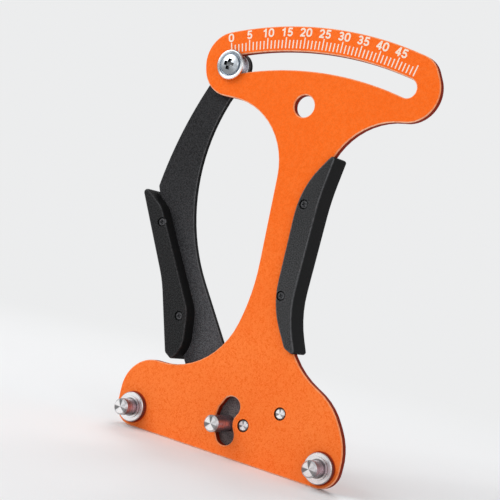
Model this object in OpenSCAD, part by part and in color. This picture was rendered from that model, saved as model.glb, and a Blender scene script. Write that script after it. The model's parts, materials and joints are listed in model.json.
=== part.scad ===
// Spoke tension meter.
// A flat front plate carries two fixed posts, a dial arc and a right-hand grip. A lever behind the
// plate turns on a shouldered pin, against a torsion spring. It carries the moving pin, which bends
// the spoke between the posts, the left-hand grip and the pointer that runs along the dial arc.
//
// The pieces are drawn flat, as seen from the front: x to the right, y up from the bottom edge of
// the plate, z towards the viewer, with z = 0 in the middle of the plate. upright() then stands the
// drawing up, so that the front faces -Y and the bottom edge lies on Z = 0.

/* [Front plate] */
// Thickness of the front plate
plate_t = 4; // [3.5:0.1:5]
// Distance between the two fixed posts
post_span = 106; // [100:1:112]
// Height of the fixed posts above the bottom edge
post_y = 9.3; // [9.3:0.1:11]
// From a post's centre to the outer edge of its foot
foot_reach = 10; // [9.5:0.1:12]
// Corner radius under each foot
foot_r = 9.8; // [8:0.1:9.8]
// Height of the left foot's shoulder
left_shoulder_y = 34.8; // [33.5:0.1:35.5]
// Height of the right foot's shoulder
right_shoulder_y = 38.9; // [38:0.1:40]
// Left edge of the neck, measured from the middle of the posts
neck_left_x = -2; // [-3:0.1:-1.5]
// Right edge of the neck, under the right grip
neck_right_x = 17.5; // [17:0.1:18]
// Height of the underside of the head
head_under_y = 167.5; // [166:0.5:168.5]
// Chamfer on the edges of the plate
plate_chamfer = 0.5; // [0.3:0.1:0.8]
// Sideways place of the hanging hole
hang_x = 1.6; // [-2:0.1:6]
// Height of the hanging hole
hang_y = 169; // [165:0.5:172]
// Diameter of the hanging hole
hang_d = 10.6; // [8:0.1:12]

/* [Dial arc] */
// Radius of the pointer's path about the pivot
dial_r = 173.3; // [172.5:0.1:175]
// Pointer angle at zero, clockwise from straight up
dial_zero = -17.4; // [-17.6:0.1:-17.2]
// Pointer travel from zero to full scale, in degrees
dial_sweep = 31.5; // [31:0.1:31.5]
// Width of the dial slot
dial_slot_w = 9.1; // [9.1:0.1:10]
// Band of the plate above the dial slot, which takes the scale
dial_band = 12; // [11:0.1:13]

/* [Posts and pins] */
// Diameter of the three pins that touch the spoke
pin_d = 8; // [7:0.1:8.4]
// How far the pins stand out from the front of the plate
pin_reach = 11.3; // [9:0.1:14]
// Chamfer on the tip of each pin
pin_chamfer = 0.8; // [0.4:0.1:1.2]
// Diameter of a fixed post's collar
collar_d = 14.5; // [13:0.1:16]
// Thickness of a fixed post's collar
collar_t = 2.8; // [2:0.1:4]
// Diameter of the small step between collar and pin
step_d = 10.6; // [10:0.1:11.6]
// Height of that step
step_t = 0.5; // [0.3:0.1:1]
// Diameter of the spigot that seats a pin in its hole
spigot_d = 6; // [5.6:0.1:6.4]
// Distance of the moving pin from the pivot
moving_r = 11; // [10.9:0.1:11.2]
// Angle of the moving pin below the level line through the pivot, at rest
moving_drop = 9.8; // [8:0.1:12]
// Width of the kidney-shaped slot that the moving pin passes through
kidney_w = 9.8; // [9.4:0.1:10]
// How far the kidney slot runs on above the pin's travel, in degrees
kidney_above = 16; // [12:1:18]
// How far the kidney slot runs on below the pin's travel, in degrees
kidney_below = 29; // [24:1:30]

/* [Pivot] */
// Sideways place of the pivot
pivot_x = 9.2; // [9:0.1:9.4]
// Height of the pivot
pivot_y = 17; // [16.8:0.1:17.4]
// Diameter of the pivot pin where the lever turns on it
pivot_d = 8; // [7.4:0.1:8.4]
// Diameter of the rivet-like end that shows in the plate
rivet_d = 5; // [4.6:0.1:5.4]
// Diameter of the shallow counterbore around that end
rivet_bore_d = 6.1; // [5.9:0.1:6.6]
// Outside diameter of the bush in the lever
bush_d = 10; // [9.6:0.1:10.6]
// Diameter of the bush's flange
bush_flange_d = 13; // [12:0.1:13.4]
// Thickness of the bush's flange
bush_flange_t = 0.8; // [0.6:0.1:1]
// Thickness of the retaining clip
clip_t = 0.7; // [0.6:0.1:0.9]

/* [Lever] */
// Thickness of the lever
lever_t = 3; // [2.6:0.1:4]
// Gap between the plate and the lever, filled by the spacers
lever_gap = 1; // [0.8:0.1:1.4]
// Radius of the round end that carries the pointer
lever_tip_r = 7.3; // [7:0.1:8]
// Chamfer on the edges of the lever
lever_chamfer = 0.4; // [0.2:0.1:0.6]

/* [Grips] */
// How far both grips stand out from the front of the plate
grip_proud = 2.5; // [2.4:0.1:3.5]
// Depth of both grips, front to back
grip_depth = 13; // [12:0.1:15]
// Rounding of the edges of the grips
grip_round = 1; // [0.6:0.1:1]
// Head diameter of the grip screws
grip_screw_head_d = 4.2; // [3.8:0.1:4.4]

/* [Pointer] */
// Diameter of the pointer screw's flange
pointer_flange_d = 14.2; // [13:0.1:15]
// Diameter of the pointer screw's raised head
pointer_head_d = 9.6; // [9:0.1:10.4]
// Diameter of the sleeve that runs in the dial slot
sleeve_d = 8.5; // [8:0.1:8.6]
// Diameter of the spacer between plate and lever
pointer_spacer_d = 13; // [12:0.1:14]

/* [Torsion spring] */
// Diameter of the spring wire
wire_d = 1.6; // [1.4:0.1:1.6]
// Radius of the coil, to the middle of the wire
coil_r = 6; // [5.9:0.1:6.1]
// Step from one turn of the coil to the next
coil_pitch = 2.1; // [2.05:0.05:2.4]
// Direction of the leg that pushes the lever, in degrees from the x axis
lever_leg_angle = 105; // [100:1:108]
// Distance along that leg to its stud
stud_reach = 13; // [11:0.1:15]
// Sideways place of the anchor pin in the plate
anchor_x = 26.7; // [26:0.1:28]
// Height of the anchor pin
anchor_y = 27.4; // [26:0.1:28]

/* [Hidden] */

// Steps of the round stretches, and facets of the turned pieces
arc_step = 7;      // most degrees of turn between two points of an outline
arc_chord = 5;     // most millimetres between two points of a round stretch
round_fn = 48;

// Clearances
seat_gap = 0.02;   // radial, a pin pressed into its hole
run_gap = 0.05;    // radial and end play where the lever turns
guide_gap = 0.3;   // between pieces that slide past each other
wire_gap = 0.1;    // between a spring leg and what it pushes on
eps = 0.5;         // how far a cutter runs past the face that it opens
slab_reach = 400;  // half the side of the block that cuts a slab's faces flat

// Colours
orange = [0.96, 0.42, 0.10];
black = [0.13, 0.13, 0.14];
grip_black = [0.09, 0.09, 0.10];
steel = [0.78, 0.79, 0.81];
zinc = [0.66, 0.67, 0.70];
dark_steel = [0.20, 0.20, 0.21];

// Levels along z
plate_front = plate_t / 2;
plate_back = -plate_t / 2;
arm_front = plate_back - lever_gap;
arm_back = arm_front - lever_t;
pin_tip = plate_front + pin_reach;
grip_front = plate_front + grip_proud;
grip_back = grip_front - grip_depth;

// Places in the drawing plane
pivot = [pivot_x, pivot_y];
post_left_at = [-post_span / 2, post_y];
post_right_at = [post_span / 2, post_y];
moving_at = pivot + polar(moving_r, 180 + moving_drop);
dial_full = dial_zero + dial_sweep;
pointer_at = pivot + clock(dial_r, dial_zero);
dial_end_at = pivot + clock(dial_r, dial_full);
hang_at = [hang_x, hang_y];
anchor_at = [anchor_x, anchor_y];

// ---- Directions ----

// A vector of length r, at angle a anticlockwise from the x axis
function polar(r, a) = r * [cos(a), sin(a)];
// A vector of length r, at angle a clockwise from straight up, as on a dial
function clock(r, a) = r * [sin(a), cos(a)];
function unit(v) = v / norm(v);

// ---- Outlines ----
// An outline is a clockwise list of corners [x, y, radius]. Straight lines join its corners.

// The round stretch that replaces corner b, between its neighbours a and c. The number of its
// points follows the drawn radius, so that an inset copy has as many.
function round_corner(a, b, c, r, drawn_r) =
    let (u = unit(a - b), w = unit(c - b), half = acos(u * w) / 2, turn = 180 - 2 * half,
         centre = b + unit(u + w) * r / sin(half),
         first = b + u * r / tan(half) - centre,
         start = atan2(first.y, first.x),
         side = sign(u.x * w.y - u.y * w.x),
         n = max(2, ceil(turn / arc_step), ceil(turn * PI / 180 * drawn_r / arc_chord)))
    [for (k = [0:n]) centre + polar(r, start - side * turn * k / n)];

function corner_xy(c) = [c.x, c.y];
function neighbour(corners, i, step) = corner_xy(corners[(i + step + len(corners)) % len(corners)]);

// All points of an outline, drawn d inside it
function outline(corners, d = 0) =
    let (moved = [for (i = [0:len(corners) - 1])
            inset_corner(neighbour(corners, i, -1), corners[i], neighbour(corners, i, 1), d)])
    [for (i = [0:len(moved) - 1])
        each round_corner(neighbour(moved, i, -1), corner_xy(moved[i]), neighbour(moved, i, 1),
                          moved[i][2], corners[i][2])];

// Corner b of a clockwise outline, moved d inwards with both its edges
function inset_corner(a, b, c, d) =
    let (p = corner_xy(b), e = unit(p - a), f = unit(c - p),
         n1 = [e.y, -e.x], n2 = [f.y, -f.x],
         convex = e.x * f.y - e.y * f.x < 0,
         q = p + d * (n1 + n2) / (1 + n1 * n2))
    [q.x, q.y, b[2] + (convex ? -d : d)];

// ---- The plate's outline ----
foot_x = post_span / 2 + foot_reach;
rim_r = dial_r + dial_slot_w / 2 + dial_band;
left_shoulder_r = 17.7;
right_shoulder_r = 28.5;
right_haunch_r = 31;
left_sweep_r = 38.4;
left_flank_r = 98;
left_throat_r = 34;
right_sweep_r = 40;
right_throat_r = 35;
left_lobe_r = 15;
right_crown_r = 11.5;
right_lobe_r = 15;
// From the zero end of the dial slot to the lower corner of the left lobe
left_lobe_from = [-11.7, -14.8];
// From the full end of the dial slot to the lower corner of the right lobe
right_lobe_from = [25.5, -14];
// How far the rim's tangents run on past the ends of the scale
left_crown = 14.6;
right_crown = 6.6;

// A point s along the tangent of the rim, touching it at clock angle a
function rim_tangent(a, s) = pivot + clock(rim_r, a) + s * [cos(a), -sin(a)];
function corner_at(p, r) = [p.x, p.y, r];

plate_corners = [
    [-foot_x, 0, foot_r],
    [-foot_x, left_shoulder_y, left_shoulder_r],
    [neck_left_x - 12, left_shoulder_y - 1, left_sweep_r],
    [neck_left_x, left_shoulder_y + 43, left_flank_r],
    [neck_left_x - 3.2, head_under_y - 1.5, left_throat_r],
    corner_at(pointer_at + left_lobe_from, left_lobe_r),
    corner_at(rim_tangent(dial_zero, -left_crown), left_lobe_r),
    corner_at(pivot + clock(rim_r / cos(dial_sweep / 2), dial_zero + dial_sweep / 2), rim_r),
    corner_at(rim_tangent(dial_full, right_crown), right_crown_r),
    corner_at(dial_end_at + right_lobe_from, right_lobe_r),
    [neck_right_x + 4, head_under_y - 0.2, right_throat_r],
    [neck_right_x, right_shoulder_y + 15.4, right_sweep_r],
    [foot_x - 11.3, right_shoulder_y, right_haunch_r],
    [foot_x, right_shoulder_y - 18.2, right_shoulder_r],
    [foot_x - 0.8, 0, foot_r],
];

// ---- The lever's outline ----
// Direction of the lever's tip, clockwise from straight up
tip_lean = 23;
hub_r = 14.2;
tip_ahead = clock(lever_tip_r, tip_lean);
tip_aside = clock(lever_tip_r + 0.25, tip_lean + 90);
lever_corners = [
    corner_at(pointer_at + tip_ahead + tip_aside, lever_tip_r),
    corner_at(pointer_at + [-0.4, -16.4], 25),
    corner_at(pivot + [-72, 100.7], 92),
    corner_at(pivot + [-13.9, 19.3], 58),
    corner_at(pivot + [9.2, 8.4], hub_r),
    corner_at(pivot + [11.1, -16], hub_r - 1),
    corner_at(pivot + [-14, -13.6], 19),
    corner_at(pivot + [-42.9, 19.7], 40),
    corner_at(pivot + [-81.2, 100.7], 2),
    corner_at(pivot + [-76.8, 130], 197),
    corner_at(pointer_at + tip_ahead - tip_aside, lever_tip_r),
];

// ---- The grips' outlines ----
right_grip_corners = [
    [neck_right_x + 5.6, 148.5, 1.2],
    [neck_right_x + 7.8, 147.8, 1.2],
    [neck_right_x + 4.7, 128.4, 120],
    [neck_right_x + 3.2, 73, 52],
    [neck_right_x + 11.2, 54.4, 1.4],
    [neck_right_x + 4.4, 57.2, 3],
    [neck_right_x - 6.7, 75.1, 41],
    [neck_right_x - 6.7, 131.4, 42],
];
left_grip_corners = [
    corner_at(pivot + [-87.6, 102], 1.8),
    corner_at(pivot + [-71.8, 91.2], 11.5),
    corner_at(pivot + [-43.1, 45.2], 17.8),
    corner_at(pivot + [-40.8, 25.8], 14),
    corner_at(pivot + [-46.4, 20.2], 1.4),
    corner_at(pivot + [-50.5, 22.7], 2.4),
    corner_at(pivot + [-61.8, 56.2], 60),
];
right_grip_screws_at = [[neck_right_x - 2.7, 124], [neck_right_x - 3.4, 80.3]];
left_grip_screws_at = [pivot + [-69.4, 83.6], pivot + [-47.2, 41.5]];

// ---- Solids ----

// Stands the flat drawing up
module upright() {
    rotate([90, 0, 0]) children();
}

// A solid through outlines that have as many points each, from the front to the back
module skin(rings, levels) {
    n = len(rings[0]);
    m = len(rings);
    points = [for (i = [0:m - 1]) for (q = rings[i]) [q.x, q.y, levels[i]]];
    sides = [for (i = [0:m - 2]) for (k = [0:n - 1])
        let (a = i * n + k, b = i * n + (k + 1) % n)
        each [[b, a, a + n], [b, a + n, b + n]]];
    front = [for (k = [0:n - 1]) k];
    back = [for (k = [n - 1:-1:0]) (m - 1) * n + k];
    polyhedron(points, concat([front, back], sides));
}

// An outline between two levels, front and back. profile lists [level, inset] from the front to
// the back. Its first and last rings lie past both faces, which are cut flat.
module slab(corners, front, back, profile) {
    intersection() {
        skin([for (p = profile) outline(corners, p[1])], [for (p = profile) p[0]]);
        translate([-slab_reach, -slab_reach, back])
            cube([2 * slab_reach, 2 * slab_reach, front - back]);
    }
}

// Edge profiles for slab(), with a chamfer c or a rounding r at both faces
function chamfered(front, back, c) = let (h = 0.3)
    [[front + h, c + h], [front - c, 0], [back + c, 0], [back - h, c + h]];
function rounded(front, back, r) = let (steps = 3, h = 0.3) concat(
    [[front + h, r]],
    [for (k = [0:steps]) let (a = 90 * k / steps) [front - r * (1 - cos(a)), r * (1 - sin(a))]],
    [for (k = [steps:-1:0]) let (a = 90 * k / steps) [back + r * (1 - cos(a)), r * (1 - sin(a))]],
    [[back - h, r]]);

// A piece turned about the z axis through p. profile lists [radius, level].
module turned(p, profile) {
    translate([p.x, p.y, 0]) rotate_extrude($fn = round_fn) polygon(profile);
}

// A plain bore of diameter d from level top down to level bottom
module bore(p, d, top, bottom) {
    translate([p.x, p.y, bottom]) cylinder(d = d, h = top - bottom, $fn = round_fn);
}

// A hole through the plate at p, flared by the chamfer c at both faces
module flared_bore(p, r, c) {
    turned(p, [[0, plate_front + eps], [r + c + eps, plate_front + eps], [r, plate_front - c],
        [r, plate_back + c], [r + c + eps, plate_back - eps], [0, plate_back - eps]]);
}

// The points of a slot on an arc about the pivot, from clock angle a0 to a1
function arc_slot_outline(r, w, a0, a1) =
    let (n = ceil((a1 - a0) / 180 * PI * r / 4), m = round_fn / 2)
    concat([for (k = [0:n]) pivot + clock(r + w / 2, a0 + (a1 - a0) * k / n)],
           [for (k = [1:m - 1]) pivot + clock(r, a1) + clock(w / 2, a1 + 180 * k / m)],
           [for (k = [n:-1:0]) pivot + clock(r - w / 2, a0 + (a1 - a0) * k / n)],
           [for (k = [1:m - 1]) pivot + clock(r, a0) + clock(w / 2, a0 + 180 + 180 * k / m)]);

// Such a slot through the plate, flared by the chamfer c at both faces
module arc_slot(r, w, a0, a1, c) {
    plain = arc_slot_outline(r, w, a0, a1);
    flare = arc_slot_outline(r, w + 2 * (c + eps), a0, a1);
    skin([flare, plain, plain, flare],
         [plate_front + eps, plate_front - c, plate_back + c, plate_back - eps]);
}

// ---- The plate's pieces ----
screw_d = 4;
screw_head_d = 7;
screw_head_t = 2.6;
screw_socket = 2.5;
screw_washer_d = 9;
screw_washer_t = 0.8;
screw_length = 9;
grip_screw_d = 2.2;
grip_screw_sunk = 0.5;
grip_screw_head_t = 1.3;
rivet_bore_t = 0.8;
kidney_a0 = -90 - moving_drop - kidney_below;
kidney_a1 = -90 - moving_drop + dial_sweep + kidney_above;
// Extra turn at each end of the dial slot, so that the sleeve stops just short of its ends
dial_over = ((dial_slot_w - sleeve_d) / 2 - guide_gap) / dial_r * 180 / PI;

module front_plate() {
    color(orange) upright() difference() {
        slab(plate_corners, plate_front, plate_back,
             chamfered(plate_front, plate_back, plate_chamfer));
        arc_slot(dial_r, dial_slot_w, dial_zero - dial_over, dial_full + dial_over, plate_chamfer);
        arc_slot(moving_r, kidney_w, kidney_a0, kidney_a1, plate_chamfer);
        flared_bore(hang_at, hang_d / 2, plate_chamfer);
        for (p = [post_left_at, post_right_at])
            bore(p, spigot_d + 2 * seat_gap, plate_front + eps, plate_back - eps);
        for (p = [pivot, anchor_at]) {
            bore(p, rivet_d + 2 * seat_gap, plate_front + eps, plate_back - eps);
            bore(p, rivet_bore_d, plate_front + eps, plate_front - rivet_bore_t);
        }
        for (p = right_grip_screws_at)
            bore(p, grip_screw_d + 2 * seat_gap, plate_front + eps, plate_back - eps);
    }
}

// The tapped hole in the back of a pin, from level back
module tapped(p, back) {
    bore(p, screw_d + 2 * seat_gap, back + screw_length + 1, back - eps);
}

// A fixed post: a pin with a collar that seats on the plate and a spigot in its hole
module post(p) {
    edge = 0.4;
    spigot_end = plate_back + 0.2;
    collar_top = plate_front + collar_t;
    color(steel) upright() difference() {
        turned(p, [[0, spigot_end], [spigot_d / 2, spigot_end], [spigot_d / 2, plate_front],
            [collar_d / 2 - edge, plate_front], [collar_d / 2, plate_front + edge],
            [collar_d / 2, collar_top - edge], [collar_d / 2 - edge, collar_top],
            [step_d / 2, collar_top], [step_d / 2, collar_top + step_t],
            [pin_d / 2, collar_top + step_t], [pin_d / 2, pin_tip - pin_chamfer],
            [pin_d / 2 - pin_chamfer, pin_tip], [0, pin_tip]]);
        tapped(p, spigot_end);
    }
}

module post_left() post(post_left_at);
module post_right() post(post_right_at);

// A low-head socket screw that comes in from behind, its head seated on level seat
module socket_screw(p, seat) {
    edge = 0.3;
    head_end = seat - screw_head_t;
    difference() {
        turned(p, [[0, head_end], [screw_head_d / 2 - edge, head_end],
            [screw_head_d / 2, head_end + edge], [screw_head_d / 2, seat], [screw_d / 2, seat],
            [screw_d / 2, seat + screw_length], [0, seat + screw_length]]);
        translate([p.x, p.y, head_end - eps])
            cylinder(d = screw_socket / cos(30), h = screw_head_t * 0.6 + eps, $fn = 6);
    }
}

module post_screws() {
    color(zinc) upright()
        for (p = [post_left_at, post_right_at]) socket_screw(p, plate_back - screw_washer_t);
}

// A flat ring from level top down
module ring(p, d_out, d_in, top, t) {
    translate([p.x, p.y, top - t]) difference() {
        cylinder(d = d_out, h = t, $fn = round_fn);
        translate([0, 0, -eps]) cylinder(d = d_in, h = t + 2 * eps, $fn = round_fn);
    }
}

module post_washers() {
    color(steel) upright()
        for (p = [post_left_at, post_right_at])
            ring(p, screw_washer_d, screw_d + 0.3, plate_back, screw_washer_t);
}

// ---- The spring's route, about the pivot ----
stud_neck_r = 2;
anchor_neck_r = 2.2;
whole_turns = 3;
coil_play = 0.3;
leg_past = 5;      // how far each leg runs on past what it pushes on
lever_leg_off = coil_r + wire_d / 2 + stud_neck_r + wire_gap;
plate_leg_off = coil_r + wire_d / 2 + anchor_neck_r + wire_gap;
anchor_from = anchor_at - pivot;
plate_leg_angle = atan2(anchor_from.y, anchor_from.x) + asin(plate_leg_off / norm(anchor_from));
plate_leg_reach = sqrt(norm(anchor_from) * norm(anchor_from) - plate_leg_off * plate_leg_off);
stud_at = pivot + polar(stud_reach, lever_leg_angle) + polar(lever_leg_off, lever_leg_angle + 90);
coil_start = lever_leg_angle + 90;
coil_turn = (plate_leg_angle - lever_leg_angle + 180) % 360 + 360 * whole_turns;
coil_front = arm_back - bush_flange_t - coil_play - wire_d / 2;
coil_back = coil_front - coil_pitch * coil_turn / 360;

rings_per_turn = 8;
wire_sides = 6;
coil_rings = ceil(coil_turn / 360 * rings_per_turn);
coil_points = [for (k = [0:coil_rings]) let (a = coil_start + coil_turn * k / coil_rings)
    concat(pivot + polar(coil_r, a), coil_front + (coil_back - coil_front) * k / coil_rings)];
lever_leg_end = pivot + polar(coil_r, coil_start) + polar(stud_reach + leg_past, lever_leg_angle);
plate_leg_end = pivot + polar(coil_r, plate_leg_angle - 90)
    + polar(plate_leg_reach + leg_past, plate_leg_angle);
spring_path = concat([concat(lever_leg_end, coil_front)], coil_points,
                     [concat(plate_leg_end, coil_back)]);

// A round tube along a list of points
module tube(path, d, sides) {
    last = len(path) - 1;
    points = [for (i = [0:last])
        let (before = path[max(0, i - 1)], after = path[min(last, i + 1)],
             along = unit(after - before),
             across = unit(cross(along, [0, 0, 1])), up = cross(across, along))
        for (k = [0:sides - 1])
            let (a = 360 * k / sides) path[i] + d / 2 * (cos(a) * across + sin(a) * up)];
    walls = [for (i = [0:last - 1]) for (k = [0:sides - 1])
        let (a = i * sides + k, b = i * sides + (k + 1) % sides)
        each [[a, b, a + sides], [b, b + sides, a + sides]]];
    first_cap = [for (k = [sides - 1:-1:0]) k];
    last_cap = [for (k = [0:sides - 1]) last * sides + k];
    polyhedron(points, concat([first_cap, last_cap], walls));
}

module torsion_spring() {
    color(dark_steel) upright() tube(spring_path, wire_d, wire_sides);
}

// The least gap between two stretches of the coil that are most of a turn apart
spring_gap = min([for (i = [0:len(coil_points) - 1])
    for (j = [i + rings_per_turn - 2:1:len(coil_points) - 1])
        norm(coil_points[i] - coil_points[j])]) - wire_d;
echo(spring_gap = spring_gap);  // torsion_spring

// ---- The pivot's pieces ----
end_washer_t = 0.8;
end_washer_d = 15;
clip_top = coil_back - wire_d / 2 - coil_play - end_washer_t - run_gap;
clip_groove_d = pivot_d - 2;
pivot_end = clip_top - clip_t - run_gap - 0.9;

module pivot_pin() {
    edge = 0.4;
    color(steel) upright()
        turned(pivot, [[0, plate_front], [rivet_d / 2 - edge, plate_front],
            [rivet_d / 2, plate_front - edge], [rivet_d / 2, plate_back],
            [pivot_d / 2, plate_back], [pivot_d / 2, clip_top],
            [clip_groove_d / 2, clip_top], [clip_groove_d / 2, clip_top - clip_t - run_gap],
            [pivot_d / 2, clip_top - clip_t - run_gap], [pivot_d / 2, pivot_end + edge],
            [pivot_d / 2 - edge, pivot_end], [0, pivot_end]]);
}

module pivot_spacer() {
    color(steel) upright()
        ring(pivot, bush_flange_d, pivot_d + 2 * run_gap, plate_back, lever_gap - run_gap);
}

module pivot_end_washer() {
    color(steel) upright()
        ring(pivot, end_washer_d, pivot_d + 2 * run_gap, clip_top + end_washer_t, end_washer_t);
}

// An E-shaped clip: an open ring with three teeth that seat in the pin's groove
module pivot_clip() {
    ring_r = pivot_d / 2 + 2.4;
    relief_r = pivot_d / 2 + 0.9;
    mouth_w = clip_groove_d - 0.6;
    tooth_w = 2.6;
    color(dark_steel) upright() translate([pivot.x, pivot.y, clip_top - clip_t])
        linear_extrude(clip_t) difference() {
            union() {
                difference() {
                    circle(r = ring_r, $fn = round_fn);
                    circle(r = relief_r, $fn = round_fn);
                }
                for (a = [-10, 90, 190])
                    rotate(a) translate([0, -tooth_w / 2]) square([ring_r - 0.5, tooth_w]);
            }
            circle(d = clip_groove_d + 2 * seat_gap, $fn = round_fn);
            translate([-mouth_w / 2, -ring_r - eps]) square([mouth_w, ring_r + eps]);
        }
}

module spring_anchor() {
    edge = 0.4;
    body_r = 3;
    neck_top = coil_back + wire_d;
    neck_bottom = coil_back - wire_d;
    color(steel) upright()
        turned(anchor_at, [[0, plate_front], [rivet_d / 2 - edge, plate_front],
            [rivet_d / 2, plate_front - edge], [rivet_d / 2, plate_back], [body_r, plate_back],
            [body_r, neck_top], [anchor_neck_r, neck_top], [anchor_neck_r, neck_bottom],
            [body_r, neck_bottom], [body_r, neck_bottom - 1], [body_r - edge, neck_bottom - 1 - edge],
            [0, neck_bottom - 1 - edge]]);
}

// ---- The grips ----

// A moulded grip: a rounded slab with a slot for the plate or the lever, and screws from the front
module grip(corners, carried, slot_front, slot_back, screws) {
    grip_fit = 0.1;
    difference() {
        slab(corners, grip_front, grip_back, rounded(grip_front, grip_back, grip_round));
        translate([0, 0, slot_back]) linear_extrude(slot_front - slot_back)
            polygon(outline(carried, -grip_fit));
        for (p = screws) {
            bore(p, grip_screw_head_d + 0.4, grip_front + eps,
                 grip_front - grip_screw_sunk - grip_screw_head_t);
            bore(p, grip_screw_d + 2 * seat_gap, grip_front, grip_back + 1);
        }
    }
}

// A small cross-recess screw in its counterbore in a grip
module grip_screw(p) {
    top = grip_front - grip_screw_sunk;
    seat = top - grip_screw_head_t;
    edge = 0.4;
    difference() {
        turned(p, [[0, grip_back + 1.2], [grip_screw_d / 2, grip_back + 1.2 + grip_screw_d / 2],
            [grip_screw_d / 2, seat], [grip_screw_head_d / 2, seat],
            [grip_screw_head_d / 2, top - edge], [grip_screw_head_d / 2 - edge, top], [0, top]]);
        cross_recess(p, top, 2.2, 0.6, 0.8);
    }
}

// A cross-shaped recess of width w, arm and depth t, below level top
module cross_recess(p, top, w, arm, t) {
    for (a = [0, 90])
        translate([p.x, p.y, top - t]) rotate(a + 20)
            translate([-w / 2, -arm / 2, 0]) cube([w, arm, t + eps]);
}

module right_grip() {
    color(grip_black) upright()
        grip(right_grip_corners, plate_corners, plate_front, plate_back, right_grip_screws_at);
}

module right_grip_screws() {
    color(dark_steel) upright() for (p = right_grip_screws_at) grip_screw(p);
}

module left_grip() {
    color(grip_black) upright()
        grip(left_grip_corners, lever_corners, arm_front, arm_back, left_grip_screws_at);
}

module left_grip_screws() {
    color(dark_steel) upright() for (p = left_grip_screws_at) grip_screw(p);
}

// ---- The lever's pieces ----
pointer_screw_d = 5;
stud_spigot_d = 3.6;
stud_spigot_t = lever_t - 1;

module lever_arm() {
    color(black) upright() difference() {
        slab(lever_corners, arm_front, arm_back, chamfered(arm_front, arm_back, lever_chamfer));
        bore(pivot, bush_d + 2 * seat_gap, arm_front + eps, arm_back - eps);
        bore(moving_at, spigot_d + 2 * seat_gap, arm_front + eps, arm_back - eps);
        bore(pointer_at, pointer_screw_d + 2 * seat_gap, arm_front + eps, arm_back - eps);
        bore(stud_at, stud_spigot_d + 2 * seat_gap, arm_back + stud_spigot_t, arm_back - eps);
        for (p = left_grip_screws_at)
            bore(p, grip_screw_d + 2 * seat_gap, arm_front + eps, arm_back - eps);
    }
}

module pivot_bush() {
    bore_r = pivot_d / 2 + run_gap;
    flange_end = arm_back - bush_flange_t;
    color(steel) upright()
        turned(pivot, [[bore_r, arm_front], [bush_d / 2, arm_front], [bush_d / 2, arm_back],
            [bush_flange_d / 2, arm_back], [bush_flange_d / 2, flange_end], [bore_r, flange_end]]);
}

module moving_pin() {
    spigot_end = arm_back + 0.2;
    color(steel) upright() difference() {
        turned(moving_at, [[0, spigot_end], [spigot_d / 2, spigot_end], [spigot_d / 2, arm_front],
            [pin_d / 2, arm_front], [pin_d / 2, pin_tip - pin_chamfer],
            [pin_d / 2 - pin_chamfer, pin_tip], [0, pin_tip]]);
        tapped(moving_at, spigot_end);
    }
}

module moving_pin_screw() {
    color(zinc) upright() socket_screw(moving_at, arm_back);
}

// Levels of the pointer's parts
flange_t = 1;
head_t = 2.2;
flange_seat = plate_front + guide_gap;
spacer_top = plate_back - run_gap;
nut_t = 4;
nut_across = 8;

module pointer_screw() {
    edge = 0.4;
    head_top = flange_seat + flange_t + head_t;
    end = arm_back - nut_t - 1;
    color(zinc) upright() difference() {
        turned(pointer_at, [[0, end], [pointer_screw_d / 2 - edge, end],
            [pointer_screw_d / 2, end + edge], [pointer_screw_d / 2, flange_seat],
            [pointer_flange_d / 2, flange_seat], [pointer_flange_d / 2, flange_seat + flange_t - edge],
            [pointer_flange_d / 2 - edge, flange_seat + flange_t],
            [pointer_head_d / 2, flange_seat + flange_t + 0.1],
            [pointer_head_d / 2 - 0.5, head_top - 0.8], [pointer_head_d / 2 - 1.4, head_top],
            [0, head_top]]);
        cross_recess(pointer_at, head_top, 5.2, 1.5, 1.8);
    }
}

module pointer_sleeve() {
    color(steel) upright()
        ring(pointer_at, sleeve_d, pointer_screw_d + 2 * seat_gap, flange_seat,
             flange_seat - spacer_top);
}

module pointer_spacer() {
    color(steel) upright()
        ring(pointer_at, pointer_spacer_d, pointer_screw_d + 2 * seat_gap, spacer_top,
             spacer_top - arm_front);
}

module pointer_nut() {
    chamfer = 0.6;
    corner_r = nut_across / 2 / cos(30);
    color(zinc) upright() difference() {
        intersection() {
            translate([pointer_at.x, pointer_at.y, arm_back - nut_t])
                cylinder(r = corner_r, h = nut_t, $fn = 6);
            turned(pointer_at, [[0, arm_back - nut_t], [corner_r - chamfer, arm_back - nut_t],
                [corner_r, arm_back - nut_t + chamfer], [corner_r, arm_back - chamfer],
                [corner_r - chamfer, arm_back], [0, arm_back]]);
        }
        bore(pointer_at, pointer_screw_d + 2 * seat_gap, arm_back + eps, arm_back - nut_t - eps);
    }
}

// The grooved stud on the back of the lever that takes the spring's front leg
module spring_stud() {
    body_r = 2.8;
    neck_top = coil_front + wire_d / 2 + 0.2;
    neck_bottom = coil_front - wire_d / 2 - 0.2;
    color(steel) upright()
        turned(stud_at, [[0, arm_back + stud_spigot_t - seat_gap],
            [stud_spigot_d / 2, arm_back + stud_spigot_t - seat_gap], [stud_spigot_d / 2, arm_back],
            [body_r, arm_back], [body_r, neck_top], [stud_neck_r, neck_top],
            [stud_neck_r, neck_bottom], [body_r, neck_bottom], [body_r, neck_bottom - 0.8],
            [0, neck_bottom - 0.8]]);
}

front_plate();
post_left();
post_right();
post_screws();
post_washers();
pivot_pin();
pivot_spacer();
pivot_end_washer();
pivot_clip();
spring_anchor();
right_grip();
right_grip_screws();
lever_arm();
pivot_bush();
moving_pin();
moving_pin_screw();
left_grip();
left_grip_screws();
pointer_screw();
pointer_sleeve();
pointer_spacer();
pointer_nut();
spring_stud();
torsion_spring();
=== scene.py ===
"""Looks of a hand-held spoke tension meter: coats, turned steel, moulded grips, the printed dial,
the pointer screw, the torsion spring and a plain studio."""

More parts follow.
